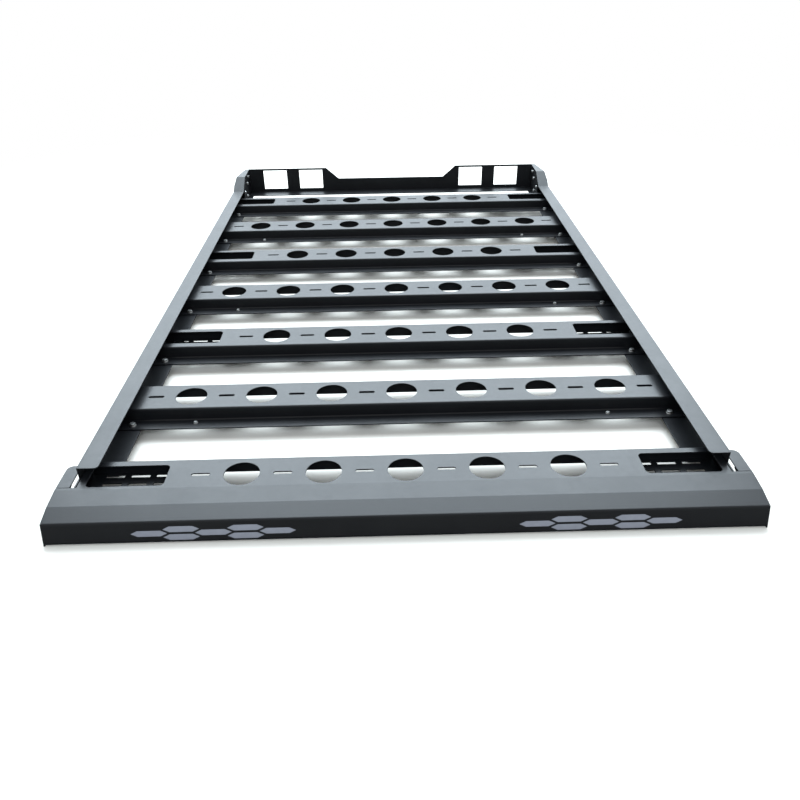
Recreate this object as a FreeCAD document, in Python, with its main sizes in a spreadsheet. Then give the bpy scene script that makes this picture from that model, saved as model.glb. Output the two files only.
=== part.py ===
import FreeCAD, Part
import math
import os
import re
import Sketcher

# Roof basket: six top-hat crossbars and a folded fairing carried by two side channels,
# with a lamp panel at the far end. Millimetres, X across, Y from fairing to lamp panel, Z up.
# The rack datum is the centre of the fairing deck's row of holes, on the deck's upper face.

doc = FreeCAD.newDocument("RoofBasket")

sizes = {
    "sheet": 2.5,
    "bend": 2.0,
    "deck_height": 53.0,
    "bar_count": 7,
    "bar_pitch": 272.5,
    "bar_width": 96.0,
    "bar_depth": 31.0,
    "bar_foot": 32.0,
    "bar_clearance": 2.0,
    "row_margin": 65.5,
    "hole_bore": 66.0,
    "wide_holes": 7,
    "narrow_holes": 5,
    "slot_length": 34.0,
    "slot_width": 8.0,
    "access_gap": 44.0,
    "access_front": 29.0,
    "access_back": 31.0,
    "access_end_strip": 14.0,
    "access_corner": 9.0,
    "rail_half": 595.0,
    "rail_cap": 38.0,
    "rail_foot": 52.0,
    "rail_rise": 22.0,
    "rail_nose": 30.0,
    "cap_front": 2.0,
    "cap_corner": 7.0,
    "toe_in": 24.0,
    "sweep_offset": 55.0,
    "sweep_run": 62.0,
    "crown_rise": 61.0,
    "tail_reach": 225.0,
    "fairing_overhang": 32.0,
    "fairing_reach": 122.0,
    "fairing_lip": 18.0,
    "first_fold": 36.0,
    "second_fold": 76.0,
    "second_drop": 4.0,
    "third_fold": 112.0,
    "third_drop": 12.5,
    "tab_width": 24.0,
    "tab_front": 29.0,
    "tab_back": 35.0,
    "tab_corner": 12.0,
    "tray_margin": 21.0,
    "tray_clearance": 0.3,
    "tray_rows": 4,
    "tray_row_pitch": 24.5,
    "tray_columns": 3,
    "tray_column_pitch": 47.5,
    "tray_shift": 7.25,
    "tray_slot_length": 36.0,
    "tray_slot_width": 8.5,
    "foot_notch_width": 84.0,
    "foot_notch_depth": 34.0,
    "dip_half": 207.0,
    "dip_top_half": 255.0,
    "dip_rise": 19.0,
    "lamp_foot": 50.0,
    "window_width": 91.0,
    "window_height": 71.0,
    "window_middle": 18.5,
    "window_gap": 15.5,
    "window_pitch": 140.5,
    "tail_clearance": 0.3,
    "bracket_inset": 2.0,
}

sheet = doc.addObject("Spreadsheet::Sheet", "Sizes")
for row, (alias, number) in enumerate(sizes.items(), start=1):
    sheet.set("A%d" % row, alias)
    sheet.set("B%d" % row, str(number))
    sheet.setAlias("B%d" % row, alias)
doc.recompute()

# Places worked out from the driving dimensions
half_bar = "(rail_half - sheet - bar_clearance)"
fairing_half = "(rail_half + fairing_overhang)"
hole_pitch = "(2 * (%s - row_margin) / wide_holes)" % half_bar
access_start = "(narrow_holes / 2 * %s + slot_length / 2 + access_gap)" % hole_pitch
access_end = "(%s - access_end_strip)" % half_bar
tray_start = "(%s - tray_margin)" % access_start
rack_start = "((fairing_reach - tail_reach - (bar_count - 1) * bar_pitch) / 2)"
last_bar = "((bar_count - 1) * bar_pitch)"
rail_end = "(%s + tail_reach)" % last_bar
sweep_start = "(%s + sweep_offset)" % last_bar
crown_start = "(%s + sweep_run)" % sweep_start
lamp_face = "(%s - sheet)" % rail_end
tail_start = "(%s + bar_width / 2 + bar_foot + tail_clearance)" % last_bar
toe_lean = "(toe_in / (%s - %s))" % (rail_end, tail_start)
lean_gauge = "(sheet / cos(atan(%s)))" % toe_lean
climb = "((crown_rise - rail_rise) / sweep_run)"
foot_top = "(-bar_depth)"
foot_under = "(-bar_depth - sheet)"

# A fold is rounded from this sine of its angle up, places this close are the same,
# and an octagon's side is this part of its width
bend_sine = 0.5
near = 0.01
octagon_side = math.tan(math.pi / 8)


def bound(text):
    # every alias in the text becomes a reference to its cell
    return re.sub(r"[a-z_]+", lambda word: ("Sizes." if word.group() in sizes else "") + word.group(), text)


def value(text):
    return float(sheet.evalExpression(bound(text)))


def bind(item, prop, text):
    item.setExpression(prop, bound(text))


def place(item, along="0"):
    # a sub-part stands at the rack datum, moved along the rack
    bind(item, "Placement.Base.y", "%s + %s" % (rack_start, along))
    bind(item, "Placement.Base.z", "deck_height")


def new_body(label):
    body = doc.addObject("PartDesign::Body", label)
    body.Label = label
    return body


def origin_item(body, role):
    return [item for item in body.Origin.OriginFeatures if item.Role == role][0]


def new_sketch(body, name, plane, lift="0"):
    sketch = body.newObject("Sketcher::SketchObject", name)
    sketch.AttachmentSupport = [(origin_item(body, plane), "")]
    sketch.MapMode = "FlatFace"
    bind(sketch, "AttachmentOffset.Base.z", lift)
    return sketch


def fix_distance(sketch, kind, geo, point, text):
    index = sketch.addConstraint(Sketcher.Constraint(kind, -1, 1, geo, point, value(text)))
    bind(sketch, "Constraints[%d]" % index, text)


def fix_point(sketch, geo, point, across, up):
    fix_distance(sketch, "DistanceX", geo, point, across)
    fix_distance(sketch, "DistanceY", geo, point, up)


def add_lines(sketch, points):
    # closed chain of lines through the numeric points
    first = sketch.GeometryCount
    count = len(points)
    for index in range(count):
        start = FreeCAD.Vector(points[index][0], points[index][1], 0)
        end = FreeCAD.Vector(points[(index + 1) % count][0], points[(index + 1) % count][1], 0)
        sketch.addGeometry(Part.LineSegment(start, end), False)
    for index in range(count):
        joined = first + (index + 1) % count
        sketch.addConstraint(Sketcher.Constraint("Coincident", first + index, 2, joined, 1))
    return first


def outline(sketch, corners):
    # closed outline with each corner placed from the origin by two bound distances
    first = add_lines(sketch, [(value(across), value(up)) for across, up in corners])
    for index, (across, up) in enumerate(corners):
        fix_point(sketch, first + index, 1, across, up)


def rectangle(sketch, left, right, low, high):
    outline(sketch, [(left, low), (right, low), (right, high), (left, high)])


def unit(start, end):
    length = math.hypot(end[0] - start[0], end[1] - start[1])
    return (end[0] - start[0]) / length, (end[1] - start[1]) / length


def bent_sheet(sketch, corners):
    # section of a folded sheet: the corners run along its shown face, the other lies one sheet to the right
    face = [(value(across), value(up)) for across, up in corners]
    ways = [unit(face[index], face[index + 1]) for index in range(len(face) - 1)]
    gauge = value("sheet")
    back = []
    hollow = []
    proud = []
    for index, (across, up) in enumerate(face):
        before = ways[max(index - 1, 0)]
        after = ways[min(index, len(ways) - 1)]
        mean = (before[1] + after[1], -before[0] - after[0])
        reach = gauge / (1 + before[0] * after[0] + before[1] * after[1])
        back.append((across + mean[0] * reach, up + mean[1] * reach))
        turn = before[0] * after[1] - before[1] * after[0]
        if turn > bend_sine:
            hollow.append(corners[index])
        elif turn < -bend_sine:
            proud.append(corners[index])
    first = add_lines(sketch, face + back[::-1])
    total = 2 * len(face)
    for index, (across, up) in enumerate(corners):
        fix_point(sketch, first + index, 1, across, up)
    for index in range(len(ways)):
        facing = first + index
        backing = first + total - 2 - index
        sketch.addConstraint(Sketcher.Constraint("Parallel", facing, backing))
        gap = sketch.addConstraint(Sketcher.Constraint("Distance", backing, 1, facing, gauge))
        bind(sketch, "Constraints[%d]" % gap, "sheet")
    sketch.addConstraint(Sketcher.Constraint("Perpendicular", first + len(face) - 1, first + len(ways) - 1))
    sketch.addConstraint(Sketcher.Constraint("Perpendicular", first + total - 1, first))
    return hollow, proud


def slot(sketch, across, up, length, width):
    # slot along the first axis, with three flat sides in place of each round end
    half = "%s / 2" % width
    flat = "%s * %.4f" % (half, octagon_side)
    tip = "%s / 2" % length
    quarter = [(tip, flat), ("%s - %s + %s" % (tip, half, flat), half)]
    upper = quarter + [("-(%s)" % x, y) for x, y in reversed(quarter)]
    ring = upper + [("-(%s)" % x, "-(%s)" % y) for x, y in upper]
    outline(sketch, [("%s + %s" % (across, x), "%s + %s" % (up, y)) for x, y in ring])


def round_slot(sketch, across, up, length, width):
    # round-ended slot along the first axis
    reach = "(%s - %s) / 2" % (length, width)
    radius = value(width) / 2
    ends = [("%s - %s" % (across, reach), 1), ("%s + %s" % (across, reach), -1)]
    first = sketch.GeometryCount
    quarter = math.pi / 2
    normal = FreeCAD.Vector(0, 0, 1)
    for place_across, sense in ends:
        centre = FreeCAD.Vector(value(place_across), value(up), 0)
        circle = Part.Circle(centre, normal, radius)
        sketch.addGeometry(Part.ArcOfCircle(circle, sense * quarter, sense * quarter + math.pi), False)
        start = centre - FreeCAD.Vector(0, sense * radius, 0)
        run = FreeCAD.Vector(sense * 2 * value(reach), 0, 0)
        sketch.addGeometry(Part.LineSegment(start, start + run), False)
    for step in range(4):
        sketch.addConstraint(Sketcher.Constraint("Tangent", first + step, 2, first + (step + 1) % 4, 1))
    sketch.addConstraint(Sketcher.Constraint("Equal", first, first + 2))
    for step, end in enumerate(ends):
        fix_point(sketch, first + 2 * step, 3, end[0], up)
    bore = sketch.addConstraint(Sketcher.Constraint("Radius", first, radius))
    bind(sketch, "Constraints[%d]" % bore, "%s / 2" % width)


def pad(body, sketch, name, length, side="One side", back=False):
    feature = body.newObject("PartDesign::Pad", name)
    feature.Profile = sketch
    feature.SideType = side
    feature.Reversed = back
    bind(feature, "Length", length)
    doc.recompute()
    return feature


def cut_through(body, sketch, name):
    before = body.Shape.Volume
    feature = body.newObject("PartDesign::Pocket", name)
    feature.Profile = sketch
    feature.SideType = "Symmetric"
    feature.Type = "ThroughAll"
    doc.recompute()
    if body.Shape.Volume >= before:
        raise RuntimeError("%s of %s cuts nothing" % (name, body.Label))
    return feature


def repeat(body, feature, name, axis, length, count):
    pattern = body.newObject("PartDesign::LinearPattern", name)
    pattern.Originals = [feature]
    pattern.Direction = (origin_item(body, axis), [""])
    bind(pattern, "Length", length)
    bind(pattern, "Occurrences", count)
    body.Tip = pattern
    doc.recompute()
    return pattern


def mirror(body, features, name):
    copy = body.newObject("PartDesign::Mirrored", name)
    copy.Originals = features
    copy.MirrorPlane = (origin_item(body, "YZ_Plane"), [""])
    body.Tip = copy
    doc.recompute()
    return copy


def other_side(label, source):
    # the left-hand piece is the right-hand one reflected across the rack's middle
    twin = doc.addObject("Part::Mirroring", label)
    twin.Label = label
    twin.Source = source
    twin.Normal = FreeCAD.Vector(1, 0, 0)
    return twin


def long_edges(shape, corners):
    # names of the edges along X that pass through the given places in the YZ plane
    points = [(value(along), value(up)) for along, up in corners]
    names = []
    for index, edge in enumerate(shape.Edges, start=1):
        ends = [vertex.Point for vertex in edge.Vertexes]
        if len(ends) < 2 or math.hypot(ends[0].y - ends[1].y, ends[0].z - ends[1].z) > near:
            continue
        if any(math.hypot(ends[0].y - along, ends[0].z - up) < near for along, up in points):
            names.append("Edge%d" % index)
    return names


def upright_edges(shape, corners):
    # names of the straight edges along Z that stand at the given places
    points = [(value(across), value(along)) for across, along in corners]
    names = []
    for index, edge in enumerate(shape.Edges, start=1):
        ends = [vertex.Point for vertex in edge.Vertexes]
        if len(ends) < 2 or math.hypot(ends[0].x - ends[1].x, ends[0].y - ends[1].y) > near:
            continue
        if any(math.hypot(ends[0].x - across, ends[0].y - along) < near for across, along in points):
            names.append("Edge%d" % index)
    return names


def fillet(body, name, edges, radius):
    return dress(body, name, "PartDesign::Fillet", "Radius", edges, radius)


def dress(body, name, kind, prop, edges, size):
    tip = body.Tip
    feature = body.newObject(kind, name)
    feature.Base = (tip, edges)
    bind(feature, prop, size)
    doc.recompute()
    return feature


def fold_bends(body, hollow, proud):
    # a narrow flat lies in the hollow folds, and the proud ones are round
    dress(body, "HollowFolds", "PartDesign::Chamfer", "Size", long_edges(body.Shape, hollow), "bend")
    fillet(body, "ProudFolds", long_edges(body.Shape, proud), "bend + sheet")


def hole_row(body, count):
    # round holes across the sheet with a slot in the middle of each gap and outside the last hole
    first_place = "-(%s - 1) / 2 * %s" % (count, hole_pitch)
    holes = new_sketch(body, "HoleSketch", "XY_Plane")
    centre = FreeCAD.Vector(value(first_place), 0, 0)
    holes.addGeometry(Part.Circle(centre, FreeCAD.Vector(0, 0, 1), value("hole_bore / 2")), False)
    fix_point(holes, 0, 3, first_place, "0")
    bore = holes.addConstraint(Sketcher.Constraint("Diameter", 0, value("hole_bore")))
    bind(holes, "Constraints[%d]" % bore, "hole_bore")
    first_hole = cut_through(body, holes, "FirstHole")
    repeat(body, first_hole, "Holes", "X_Axis", "(%s - 1) * %s" % (count, hole_pitch), count)
    slots = new_sketch(body, "SlotSketch", "XY_Plane")
    slot(slots, "-%s / 2 * %s" % (count, hole_pitch), "0", "slot_length", "slot_width")
    first_slot = cut_through(body, slots, "FirstSlot")
    repeat(body, first_slot, "Slots", "X_Axis", "%s * %s" % (count, hole_pitch), "%s + 1" % count)


def access_openings(body):
    # round-cornered openings over the mounting trays, one at each end
    sketch = new_sketch(body, "AccessSketch", "XY_Plane")
    rectangle(sketch, access_start, access_end, "-access_front", "access_back")
    opening = cut_through(body, sketch, "RightAccess")
    mirror(body, [opening], "LeftAccess")
    corners = [(side + across, along) for side in ("", "-") for across in (access_start, access_end)
               for along in ("-access_front", "access_back")]
    fillet(body, "AccessCorners", upright_edges(body.Shape, corners), "access_corner")


def make_crossbar(number):
    # top-hat bar: every second one has fewer holes and the access openings
    with_access = number % 2 == 1
    body = new_body("crossbar_%d" % number)
    section = new_sketch(body, "Section", "YZ_Plane")
    edge = "bar_width / 2"
    foot = "%s + sheet" % foot_top
    hollow, proud = bent_sheet(section, [
        ("-%s - bar_foot" % edge, foot), ("-%s" % edge, foot), ("-%s" % edge, "0"),
        (edge, "0"), (edge, foot), ("%s + bar_foot" % edge, foot)])
    pad(body, section, "Hat", "2 * %s" % half_bar, "Symmetric")
    fold_bends(body, hollow, proud)
    hole_row(body, "narrow_holes" if with_access else "wide_holes")
    if with_access:
        access_openings(body)
    place(body, "%d * bar_pitch" % (number - 1))
    return body


def make_fairing():
    # folded nose sheet: deck, two sloping panels, front face and a stiffening lip below
    body = new_body("fairing_panel")
    section = new_sketch(body, "Section", "YZ_Plane")
    edge = "bar_width / 2"
    foot = "%s + sheet" % foot_top
    hollow, proud = bent_sheet(section, [
        ("-fairing_reach + fairing_lip", "-deck_height"), ("-fairing_reach", "-deck_height"),
        ("-third_fold", "-third_drop"), ("-second_fold", "-second_drop"), ("-first_fold", "0"),
        (edge, "0"), (edge, foot), ("%s + bar_foot" % edge, foot)])
    pad(body, section, "NoseSheet", "2 * (%s - sheet)" % fairing_half, "Symmetric")
    fold_bends(body, hollow, proud)
    corner = new_sketch(body, "CornerSketch", "XY_Plane")
    rectangle(corner, half_bar, fairing_half, "-rail_nose", "%s + bar_foot + sheet" % edge)
    notch = cut_through(body, corner, "RightCorner")
    mirror(body, [notch], "LeftCorner")
    hole_row(body, "narrow_holes")
    access_openings(body)
    place(body)
    return body


def make_end_plate():
    # side plate of the fairing with a tab turned in at deck level
    body = new_body("fairing_end_plate_right")
    side = new_sketch(body, "SideSketch", "YZ_Plane", "%s - sheet" % fairing_half)
    rear = "tab_back - tab_corner"
    outline(side, [
        ("-fairing_reach", "-deck_height"), ("-first_fold", "-deck_height"), (rear, foot_under), (rear, "0"),
        ("-first_fold", "0"), ("-second_fold", "-second_drop"), ("-third_fold", "-third_drop")])
    pad(body, side, "SidePlate", "sheet")
    tab = new_sketch(body, "TabSketch", "XY_Plane")
    rectangle(tab, "%s - tab_width" % fairing_half, fairing_half, "-tab_front", "tab_back")
    pad(body, tab, "Tab", "sheet", back=True)
    fillet(body, "TabCorner", upright_edges(body.Shape, [(fairing_half, "tab_back")]), "tab_corner")
    place(body)
    return body


def make_rail_web():
    # upright of the side channel: behind the last bar it leans in and its top sweeps up to the crown
    body = new_body("rail_web_right")
    plan = new_sketch(body, "PlanSketch", "XY_Plane", foot_under)
    bent_sheet(plan, [
        ("rail_half - toe_in", rail_end), ("rail_half", tail_start), ("rail_half", "-rail_nose")])
    pad(body, plan, "Web", "crown_rise + bar_depth + sheet")
    over = new_sketch(body, "OverSketch", "YZ_Plane")
    above = "crown_rise + sheet"
    outline(over, [
        ("-rail_nose - sheet", "0"), ("-cap_front", "0"), ("-cap_front", "rail_rise"),
        (sweep_start, "rail_rise"), (crown_start, "crown_rise"), (crown_start, above),
        ("-rail_nose - sheet", above)])
    cut_through(body, over, "OverCap")
    place(body)
    return body


def trim_to_web(body):
    # whatever lies beyond the web's inner face goes
    beyond = new_sketch(body, "BeyondSketch", "XY_Plane")
    outer = "rail_half + sheet"
    front = "-rail_nose - sheet"
    back = "%s + sheet" % rail_end
    outline(beyond, [
        ("rail_half - sheet", front), (outer, front), (outer, back),
        ("rail_half - toe_in - %s - sheet * %s" % (lean_gauge, toe_lean), back),
        ("rail_half - sheet", "%s - sheet * tan(atan(%s) / 2)" % (tail_start, toe_lean))])
    cut_through(body, beyond, "BeyondWeb")


def make_rail_cap():
    # upper flange of the side channel, with the same sweep as the web
    body = new_body("rail_cap_right")
    inner = "rail_half - rail_cap"
    line = new_sketch(body, "CapSketch", "YZ_Plane", inner)
    bent_sheet(line, [
        ("-cap_front", "rail_rise"), (sweep_start, "rail_rise"), (crown_start, "crown_rise"),
        (lamp_face, "crown_rise")])
    pad(body, line, "Cap", "rail_cap")
    trim_to_web(body)
    fillet(body, "CapCorner", upright_edges(body.Shape, [(inner, "-cap_front")]), "cap_corner")
    place(body)
    return body


def make_rail_foot():
    # lower flange of the side channel, notched under every mounting tray
    body = new_body("rail_foot_right")
    inner = "rail_half - rail_foot"
    strip = new_sketch(body, "FootSketch", "YZ_Plane", inner)
    rectangle(strip, "-rail_nose", rail_end, foot_under, foot_top)
    pad(body, strip, "Foot", "rail_foot")
    trim_to_web(body)
    notch = new_sketch(body, "NotchSketch", "XY_Plane", foot_top)
    reach = "foot_notch_width / 2"
    rectangle(notch, "%s - sheet" % inner, "%s + foot_notch_depth" % inner, "-" + reach, reach)
    first = cut_through(body, notch, "FirstNotch")
    repeat(body, first, "Notches", "Y_Axis", last_bar, "(bar_count + 1) / 2")
    place(body)
    return body


def make_tray(number):
    # slotted plate under an access opening, lying on the rail's foot; the corner ones are bolted down
    body = new_body("mount_tray_%d_right" % number)
    plate = new_sketch(body, "PlateSketch", "XY_Plane", foot_top)
    edge = "(bar_width / 2 - sheet - tray_clearance)"
    rectangle(plate, tray_start, half_bar, "-%s" % edge, edge)
    pad(body, plate, "Plate", "sheet")
    slots = new_sketch(body, "SlotSketch", "XY_Plane", foot_top)
    middle = "(%s + %s) / 2 - tray_shift" % (access_start, access_end)
    lines = int(value("tray_rows"))
    columns = int(value("tray_columns"))
    bolted = (lines // 2, columns // 2) if number in (1, value("bar_count")) else None
    for line in range(lines):
        along = "(%d - (tray_rows - 1) / 2) * tray_row_pitch" % line
        for column in range(columns):
            across = "%s + (%d - (tray_columns - 1) / 2) * tray_column_pitch" % (middle, column)
            if (line, column) == bolted:
                round_slot(slots, across, along, "tray_slot_length", "tray_slot_width")
                continue
            sides = ["%s %s tray_slot_length / 2" % (across, sign) for sign in "-+"]
            edges = ["%s %s tray_slot_width / 2" % (along, sign) for sign in "-+"]
            rectangle(slots, sides[0], sides[1], edges[0], edges[1])
    cut_through(body, slots, "Slots")
    place(body, "%d * bar_pitch" % (number - 1))
    return body


def make_lamp_panel():
    # upright with a lowered middle, four lamp windows and a foot turned towards the bars
    body = new_body("lamp_panel")
    half = "(rail_half - toe_in - %s - tail_clearance)" % lean_gauge
    upright = new_sketch(body, "UprightSketch", "XZ_Plane")
    outline(upright, [
        ("-%s" % half, foot_top), (half, foot_top), (half, "crown_rise"), ("dip_top_half", "crown_rise"),
        ("dip_half", "dip_rise"), ("-dip_half", "dip_rise"), ("-dip_top_half", "crown_rise"),
        ("-%s" % half, "crown_rise")])
    pad(body, upright, "Upright", "sheet", back=True)
    foot = new_sketch(body, "FootSketch", "XY_Plane", foot_top)
    reach = "(rail_half - rail_cap - tray_clearance)"
    rectangle(foot, "-%s" % reach, reach, "-lamp_foot", "sheet")
    pad(body, foot, "Foot", "sheet")
    windows = new_sketch(body, "WindowSketch", "XZ_Plane")
    low = "window_middle - window_height / 2"
    high = "window_middle + window_height / 2"
    for side in (-1, 1):
        for step in range(2):
            near_edge = "dip_top_half + window_gap + %d * window_pitch" % step
            edges = ["%d * (%s)" % (side, near_edge), "%d * (%s + window_width)" % (side, near_edge)]
            rectangle(windows, edges[0], edges[1], low, high)
    cut_through(body, windows, "Windows")
    place(body, lamp_face)
    return body


def make_bracket():
    # upright plate under the crown's inner edge that ties the lamp panel to the rail
    body = new_body("lamp_bracket_right")
    plate = new_sketch(body, "PlateSketch", "YZ_Plane", "rail_half - rail_cap + bracket_inset")
    top = "crown_rise - sheet"
    brow = "(%s + tan(atan(%s) / 2) * sheet)" % (crown_start, climb)
    outline(plate, [
        (tail_start, foot_top), (lamp_face, foot_top), (lamp_face, top), (brow, top),
        (tail_start, "%s - (%s - %s) * %s" % (top, brow, tail_start, climb))])
    pad(body, plate, "Plate", "sheet")
    place(body)
    return body


def check(items):
    for item in doc.Objects:
        if "Invalid" in item.State or "Error" in item.State:
            raise RuntimeError("%s failed: %s" % (item.Label, item.State))
    for item in items:
        if item.Shape.isNull() or not item.Shape.isValid():
            raise RuntimeError("%s has no valid shape" % item.Label)


bar_total = int(value("bar_count"))
pieces = [make_fairing()]
pieces += [make_crossbar(number) for number in range(2, bar_total + 1)]
paired = [make_end_plate(), make_rail_web(), make_rail_cap(), make_rail_foot(), make_bracket()]
paired += [make_tray(number) for number in range(1, bar_total + 1, 2)]
pieces.append(make_lamp_panel())
pieces += paired
pieces += [other_side(piece.Label.replace("_right", "_left"), piece) for piece in paired]
doc.recompute()
check(pieces)
os.makedirs("parts", exist_ok=True)
for piece in pieces:
    piece.Shape.exportStep("parts/%s.step" % piece.Label)
    print(piece.Label, round(piece.Shape.Volume), len(piece.Shape.Solids), piece.Shape.BoundBox)
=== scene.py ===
import math

import bmesh
import bpy
from mathutils import Matrix, Vector


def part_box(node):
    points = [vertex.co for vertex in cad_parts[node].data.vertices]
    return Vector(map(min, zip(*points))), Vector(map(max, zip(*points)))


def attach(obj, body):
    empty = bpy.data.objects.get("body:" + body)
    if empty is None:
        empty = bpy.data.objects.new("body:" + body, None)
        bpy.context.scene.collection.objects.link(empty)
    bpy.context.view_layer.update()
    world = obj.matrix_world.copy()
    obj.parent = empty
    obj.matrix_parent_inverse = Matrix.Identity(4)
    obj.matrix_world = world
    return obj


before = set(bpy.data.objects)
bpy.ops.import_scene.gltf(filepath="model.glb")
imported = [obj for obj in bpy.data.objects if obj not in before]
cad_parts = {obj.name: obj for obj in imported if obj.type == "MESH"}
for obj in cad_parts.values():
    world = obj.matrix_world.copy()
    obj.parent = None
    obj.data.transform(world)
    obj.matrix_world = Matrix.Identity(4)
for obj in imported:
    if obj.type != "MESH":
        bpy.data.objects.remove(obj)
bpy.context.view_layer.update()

root = "root"

# sheet thickness of the rack, in metres, and its count of bars
rack = {"sheet": 0.0025, "barCount": 7}


def linear(hexColour):
    # sRGB hex to the linear colour that the shaders take
    parts = [int(hexColour[i:i + 2], 16) / 255 for i in (1, 3, 5)]
    return tuple(c / 12.92 if c <= 0.04045 else ((c + 0.055) / 1.055) ** 2.4 for c in parts) + (1.0,)


def perMetre(millimetres):
    # texture scale for a pattern of that size
    return 1000 / millimetres


def addNode(tree, kind, settings=None, links=None):
    node = tree.nodes.new(kind)
    for name, value in (settings or {}).items():
        if isinstance(name, str) and hasattr(node, name):
            setattr(node, name, value)
        else:
            node.inputs[name].default_value = value
    for name, source in (links or {}).items():
        tree.links.new(source, node.inputs[name])
    return node


def newMaterial(name):
    material = bpy.data.materials.new(name)
    material.use_nodes = True
    tree = material.node_tree
    tree.nodes.clear()
    return material, tree


def finishMaterial(tree, shader):
    addNode(tree, "ShaderNodeOutputMaterial", links={"Surface": shader})


def addNoise(tree, place, millimetres, detail=2.0):
    settings = {"Scale": perMetre(millimetres), "Detail": detail}
    return addNode(tree, "ShaderNodeTexNoise", settings, {"Vector": place}).outputs["Fac"]


def addTint(tree, first, second, factor):
    # colour between two sRGB hex colours
    settings = {"data_type": "RGBA", 6: linear(first), 7: linear(second)}
    return addNode(tree, "ShaderNodeMix", settings, {0: factor}).outputs[2]


# satin black powder coat on aluminium sheet: orange peel, soft clouding, rounded edges
coat = {
    "dark": "#131417", "light": "#1c1e21", "ior": 1.5, "edgeMm": 0.9,
    "cloudMm": 85, "cloudDetail": 3.0, "smearMm": 9, "smearDetail": 2.0, "peelMm": 1.6, "peelDetail": 1.0,
    "blendLow": 0.6, "blendHigh": 1.4, "roughLow": 0.33, "roughHigh": 0.43,
    "bump": 0.4, "bumpDepth": 0.0001,
}


def powderCoat():
    material, tree = newMaterial("satin_black_powder_coat")
    place = addNode(tree, "ShaderNodeTexCoord").outputs["Object"]
    cloud = addNoise(tree, place, coat["cloudMm"], coat["cloudDetail"])
    smear = addNoise(tree, place, coat["smearMm"], coat["smearDetail"])
    peel = addNoise(tree, place, coat["peelMm"], coat["peelDetail"])
    blend = addNode(tree, "ShaderNodeMath", {"operation": "ADD"}, {0: cloud, 1: smear})
    rough = addNode(tree, "ShaderNodeMapRange", {
        "From Min": coat["blendLow"], "From Max": coat["blendHigh"],
        "To Min": coat["roughLow"], "To Max": coat["roughHigh"]}, {"Value": blend.outputs[0]})
    soft = addNode(tree, "ShaderNodeBevel", {"samples": 4, "Radius": coat["edgeMm"] / 1000})
    bump = addNode(tree, "ShaderNodeBump", {"Strength": coat["bump"], "Distance": coat["bumpDepth"]},
                   {"Height": peel, "Normal": soft.outputs["Normal"]})
    shader = addNode(tree, "ShaderNodeBsdfPrincipled", {"IOR": coat["ior"]}, {
        "Base Color": addTint(tree, coat["dark"], coat["light"], cloud),
        "Roughness": rough.outputs["Result"], "Normal": bump.outputs["Normal"]})
    finishMaterial(tree, shader.outputs[0])
    return material


# bright zinc plate on the bolts, with faint grey spangle
zinc = {"light": "#e4e5e3", "dark": "#c3c5c4", "spangleMm": 1.6, "roughLow": 0.34, "roughHigh": 0.52}


def zincPlate():
    material, tree = newMaterial("bright_zinc_plate")
    place = addNode(tree, "ShaderNodeTexCoord").outputs["Object"]
    pattern = {"Scale": perMetre(zinc["spangleMm"])}
    spangle = addNode(tree, "ShaderNodeTexVoronoi", pattern, {"Vector": place}).outputs["Distance"]
    rough = addNode(tree, "ShaderNodeMapRange", {"To Min": zinc["roughLow"], "To Max": zinc["roughHigh"]},
                    {"Value": spangle})
    shader = addNode(tree, "ShaderNodeBsdfPrincipled", {"Metallic": 1.0}, {
        "Base Color": addTint(tree, zinc["light"], zinc["dark"], spangle),
        "Roughness": rough.outputs["Result"]})
    finishMaterial(tree, shader.outputs[0])
    return material


# matt grey paint of the honeycomb marks, slightly uneven
paint = {"light": "#8c8f9b", "dark": "#80838e", "grainMm": 14, "rough": 0.55}


def greyPaint():
    material, tree = newMaterial("matt_grey_paint")
    place = addNode(tree, "ShaderNodeTexCoord").outputs["Object"]
    grain = addNoise(tree, place, paint["grainMm"])
    shader = addNode(tree, "ShaderNodeBsdfPrincipled", {"Roughness": paint["rough"]}, {
        "Base Color": addTint(tree, paint["light"], paint["dark"], grain)})
    finishMaterial(tree, shader.outputs[0])
    return material


coatMaterial = powderCoat()
zincMaterial = zincPlate()
paintMaterial = greyPaint()

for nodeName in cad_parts:
    node = bpy.data.objects[nodeName]
    node.data.materials.clear()
    node.data.materials.append(coatMaterial)
print("materials set")


def addPiece(name, mesh, material):
    data = bpy.data.meshes.new(name)
    mesh.to_mesh(data)
    mesh.free()
    data.materials.append(material)
    piece = bpy.data.objects.new(name, data)
    bpy.context.collection.objects.link(piece)
    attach(piece, root)
    return piece


# hexagon flange bolts, sizes in metres
bolt = {
    "flat": 0.013, "head": 0.0055, "bevel": 0.0009, "bevelSteps": 2,
    "flange": 0.009, "flangeTop": 0.0081, "flangeHeight": 0.0016, "flangeSides": 18,
}


def addBolt(mesh, place, turn=Matrix.Identity(4), scale=1.0):
    # a bolt head that stands on the given place, its axis along the turned Z
    spot = Matrix.Translation(place) @ turn @ Matrix.Scale(scale, 4)
    flangeMiddle = Matrix.Translation((0, 0, bolt["flangeHeight"] / 2))
    headMiddle = Matrix.Translation((0, 0, (bolt["flangeHeight"] + bolt["head"]) / 2))
    corner = bolt["flat"] / math.sqrt(3)
    bmesh.ops.create_cone(
        mesh, cap_ends=True, segments=bolt["flangeSides"], radius1=bolt["flange"],
        radius2=bolt["flangeTop"], depth=bolt["flangeHeight"], matrix=spot @ flangeMiddle)
    head = bmesh.ops.create_cone(
        mesh, cap_ends=True, segments=6, radius1=corner, radius2=corner, depth=bolt["head"],
        matrix=spot @ headMiddle)
    edges = list({edge for vert in head["verts"] for edge in vert.link_edges})
    bmesh.ops.bevel(
        mesh, geom=edges, offset=bolt["bevel"] * scale, affect="EDGES", segments=bolt["bevelSteps"],
        profile=0.5, material=-1)


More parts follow.
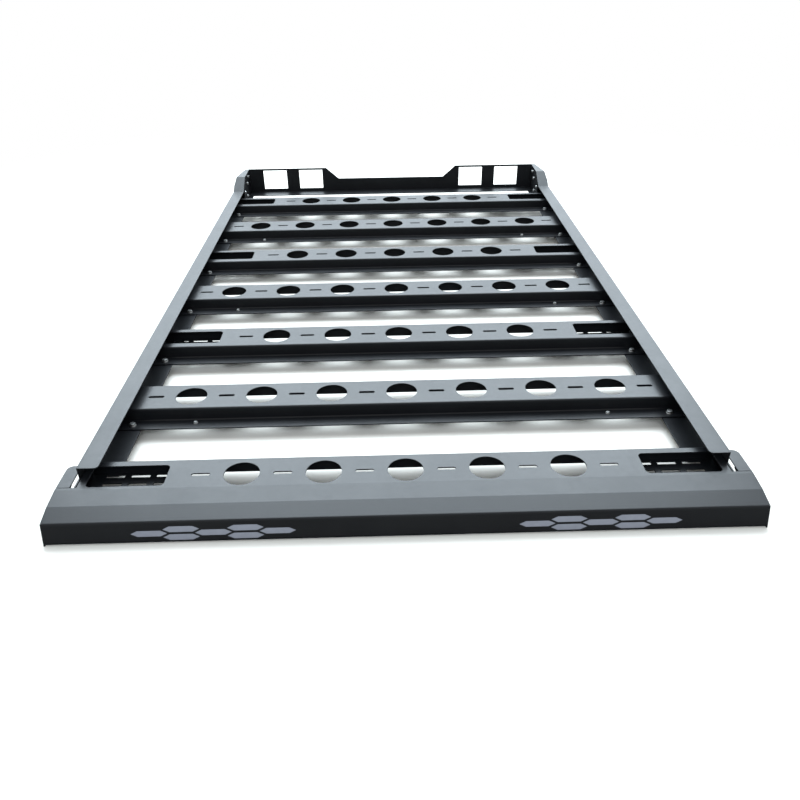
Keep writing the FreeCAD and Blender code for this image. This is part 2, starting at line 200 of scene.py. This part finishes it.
# bolts through the ends of each bar's front foot, from the bar's middle
footBolt = {"across": 0.563, "ahead": 0.064, "scale": 0.85}


def barBolts():
    mesh = bmesh.new()
    for number in range(2, rack["barCount"] + 1):
        low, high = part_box("crossbar_%d" % number)
        along = (low.y + high.y) / 2 - footBolt["ahead"]
        for side in (-1, 1):
            place = Vector((side * footBolt["across"], along, low.z + rack["sheet"]))
            addBolt(mesh, place, scale=footBolt["scale"])
    return addPiece("bar_bolts", mesh, zincMaterial)


# low screws on the front foot of each bar without trays, from the bar's middle
footScrew = {"across": 0.433, "ahead": 0.060, "scale": 0.55, "firstBar": 2, "step": 2}


def barScrews():
    mesh = bmesh.new()
    for number in range(footScrew["firstBar"], rack["barCount"] + 1, footScrew["step"]):
        low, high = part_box("crossbar_%d" % number)
        along = (low.y + high.y) / 2 - footScrew["ahead"]
        for side in (-1, 1):
            place = Vector((side * footScrew["across"], along, low.z + rack["sheet"]))
            addBolt(mesh, place, scale=footScrew["scale"])
    return addPiece("bar_screws", mesh, zincMaterial)


# screws through each lamp bracket: ahead of its far end and below its crown
bracketScrew = {"places": ((0.030, 0.018), (0.060, 0.036), (0.082, 0.078), (0.122, 0.052)), "scale": 0.62}


def bracketScrews():
    mesh = bmesh.new()
    for side, sideName in ((-1, "left"), (1, "right")):
        low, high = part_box("lamp_bracket_" + sideName)
        inner = low.x if side > 0 else high.x
        turn = Matrix.Rotation(math.radians(-90 * side), 4, "Y")
        for ahead, below in bracketScrew["places"]:
            addBolt(mesh, Vector((inner, high.y - ahead, high.z - below)), turn, bracketScrew["scale"])
    return addPiece("bracket_screws", mesh, zincMaterial)


barBolts()
barScrews()
bracketScrews()
print("bolts set")

# honeycomb marks painted on the front face: five columns of one or two long hexagons
honeycomb = {
    "rows": (1, 2, 1, 2, 1), "start": 0.1925, "pitch": 0.0552, "length": 0.0625, "height": 0.0108,
    "point": 0.0115, "rowGap": 0.0043, "thick": 0.0002, "middle": 0.0195,
    "faceBottom": -0.991, "faceTop": -0.981, "faceHeight": 0.0405,
}


def facePoint(across, up):
    # place on the sloping front face, up its slope from the lower edge
    setBack = honeycomb["faceTop"] - honeycomb["faceBottom"]
    slope = Vector((0, setBack, honeycomb["faceHeight"])).normalized()
    return Vector((across, honeycomb["faceBottom"], 0)) + slope * up


def addHexagon(mesh, centre, up):
    half = honeycomb["length"] / 2
    shoulder = half - honeycomb["point"]
    rise = honeycomb["height"] / 2
    upper = [(half, 0), (shoulder, rise), (-shoulder, rise)]
    corners = upper + [(-x, -y) for x, y in upper]
    face = mesh.faces.new([mesh.verts.new(facePoint(centre + x, up + y)) for x, y in corners])
    face.normal_update()
    if face.normal.y > 0:
        face.normal_flip()
    outward = face.normal * honeycomb["thick"]
    raised = bmesh.ops.extrude_face_region(mesh, geom=[face])["geom"]
    corners = [item for item in raised if isinstance(item, bmesh.types.BMVert)]
    bmesh.ops.translate(mesh, vec=outward, verts=corners)


def honeycombMarks(name, side):
    mesh = bmesh.new()
    rowPitch = honeycomb["height"] + honeycomb["rowGap"]
    for column, rows in enumerate(honeycomb["rows"]):
        centre = side * (honeycomb["start"] + honeycomb["length"] / 2 + column * honeycomb["pitch"])
        for row in range(rows):
            addHexagon(mesh, centre, honeycomb["middle"] + (row - (rows - 1) / 2) * rowPitch)
    bmesh.ops.recalc_face_normals(mesh, faces=mesh.faces)
    return addPiece(name, mesh, paintMaterial)


honeycombMarks("honeycomb_left", -1)
honeycombMarks("honeycomb_right", 1)
print("honeycomb set")

# pale floor that fades into the white background, with a painted shade that darkens it in the coat's
# reflections
ground = {"size": 14.0, "colour": "#f7f2ea", "sheenShade": "#4c4a47", "fadeStart": 1.5, "fadeEnd": 2.4}


def floorMaterial():
    # matt pale studio paper, clear far from the rack; painted shade makes it darker only in the coat's
    # reflections
    material, tree = newMaterial("matt_studio_paper")
    place = addNode(tree, "ShaderNodeTexCoord").outputs["Object"]
    away = addNode(tree, "ShaderNodeVectorMath", {"operation": "LENGTH"}, {0: place})
    fade = addNode(tree, "ShaderNodeMapRange", {
        "interpolation_type": "SMOOTHSTEP", "From Min": ground["fadeStart"], "From Max": ground["fadeEnd"]},
        {"Value": away.outputs["Value"]})
    path = addNode(tree, "ShaderNodeLightPath")
    # painted shade: glossy rays see this dark tone, so the coat reflects a darker floor than the camera
    # sees
    tint = addTint(tree, ground["colour"], ground["sheenShade"], path.outputs["Is Glossy Ray"])
    matt = addNode(tree, "ShaderNodeBsdfDiffuse", links={"Color": tint})
    clear = addNode(tree, "ShaderNodeBsdfTransparent")
    mix = addNode(tree, "ShaderNodeMixShader", links={
        0: fade.outputs["Result"], 1: matt.outputs[0], 2: clear.outputs[0]})
    finishMaterial(tree, mix.outputs[0])
    return material


def addFloor():
    mesh = bmesh.new()
    bmesh.ops.create_grid(mesh, x_segments=1, y_segments=1, size=ground["size"] / 2)
    data = bpy.data.meshes.new("studio_floor")
    mesh.to_mesh(data)
    mesh.free()
    data.materials.append(floorMaterial())
    floor = bpy.data.objects.new("studio_floor", data)
    bpy.context.collection.objects.link(floor)


addFloor()

# soft light: an even sky, panels behind and above that the decks mirror, and a weak one in front
studio = {"sky": 0.36, "white": 1.0, "tint": (0.80, 0.915, 1.0)}
panels = {
    "low_panel": {"place": (0, 4.6, 1.45), "aim": (0, 0, 1.2), "size": (9.0, 1.9), "power": 160},
    "high_panel": {"place": (0, 3.78, 4.62), "aim": (0, -0.4, 0), "size": (8.0, 4.6), "power": 840},
    "top_panel": {"place": (0, 1.0, 5.6), "aim": (0, -0.6, 0), "size": (7.0, 3.0), "power": 190},
    "front_panel": {"place": (0, -4.6, 3.4), "aim": (0, -0.9, 0), "size": (6.0, 2.6), "power": 120},
}
notMirrored = ("front_panel",)


def addSky():
    world = bpy.data.worlds.new("studio_sky")
    bpy.context.scene.world = world
    world.use_nodes = True
    tree = world.node_tree
    tree.nodes.clear()
    path = addNode(tree, "ShaderNodeLightPath")
    sky = addNode(tree, "ShaderNodeBackground", {"Strength": studio["sky"]})
    white = addNode(tree, "ShaderNodeBackground", {"Strength": studio["white"]})
    for background in (sky, white):
        background.inputs["Color"].default_value = (1, 1, 1, 1)
    mix = addNode(tree, "ShaderNodeMixShader", links={
        0: path.outputs["Is Camera Ray"], 1: sky.outputs[0], 2: white.outputs[0]})
    addNode(tree, "ShaderNodeOutputWorld", links={"Surface": mix.outputs[0]})


def addPanel(name, panel):
    light = bpy.data.lights.new(name, "AREA")
    light.shape = "RECTANGLE"
    light.size, light.size_y = panel["size"]
    light.energy = panel["power"]
    light.color = studio["tint"]
    lamp = bpy.data.objects.new(name, light)
    lamp.location = panel["place"]
    aim = Vector(panel["aim"]) - Vector(panel["place"])
    lamp.rotation_mode = "QUATERNION"
    lamp.rotation_quaternion = aim.to_track_quat("-Z", "Y")
    lamp.visible_glossy = name not in notMirrored
    bpy.context.collection.objects.link(lamp)


addSky()
for panelName, panelSettings in panels.items():
    addPanel(panelName, panelSettings)
print("light set")

# camera solved from the photograph's rows of holes: metres and degrees, lens and sensor in millimetres
camera = {
    "place": (-0.0274, -1.9246, 0.8757), "yaw": 1.015, "down": 32.465, "roll": -0.801,
    "lens": 32.69, "sensor": 36,
}


def addCamera():
    data = bpy.data.cameras.new("photo_camera")
    data.sensor_width = camera["sensor"]
    data.lens = camera["lens"]
    eye = bpy.data.objects.new("photo_camera", data)
    turn = Matrix.Rotation(math.radians(-camera["yaw"]), 4, "Z")
    tip = Matrix.Rotation(math.radians(90 - camera["down"]), 4, "X")
    roll = Matrix.Rotation(math.radians(camera["roll"]), 4, "Z")
    eye.matrix_world = Matrix.Translation(camera["place"]) @ turn @ tip @ roll
    bpy.context.collection.objects.link(eye)
    bpy.context.scene.camera = eye


addCamera()
bpy.context.scene.view_settings.view_transform = "Standard"
print("camera set")
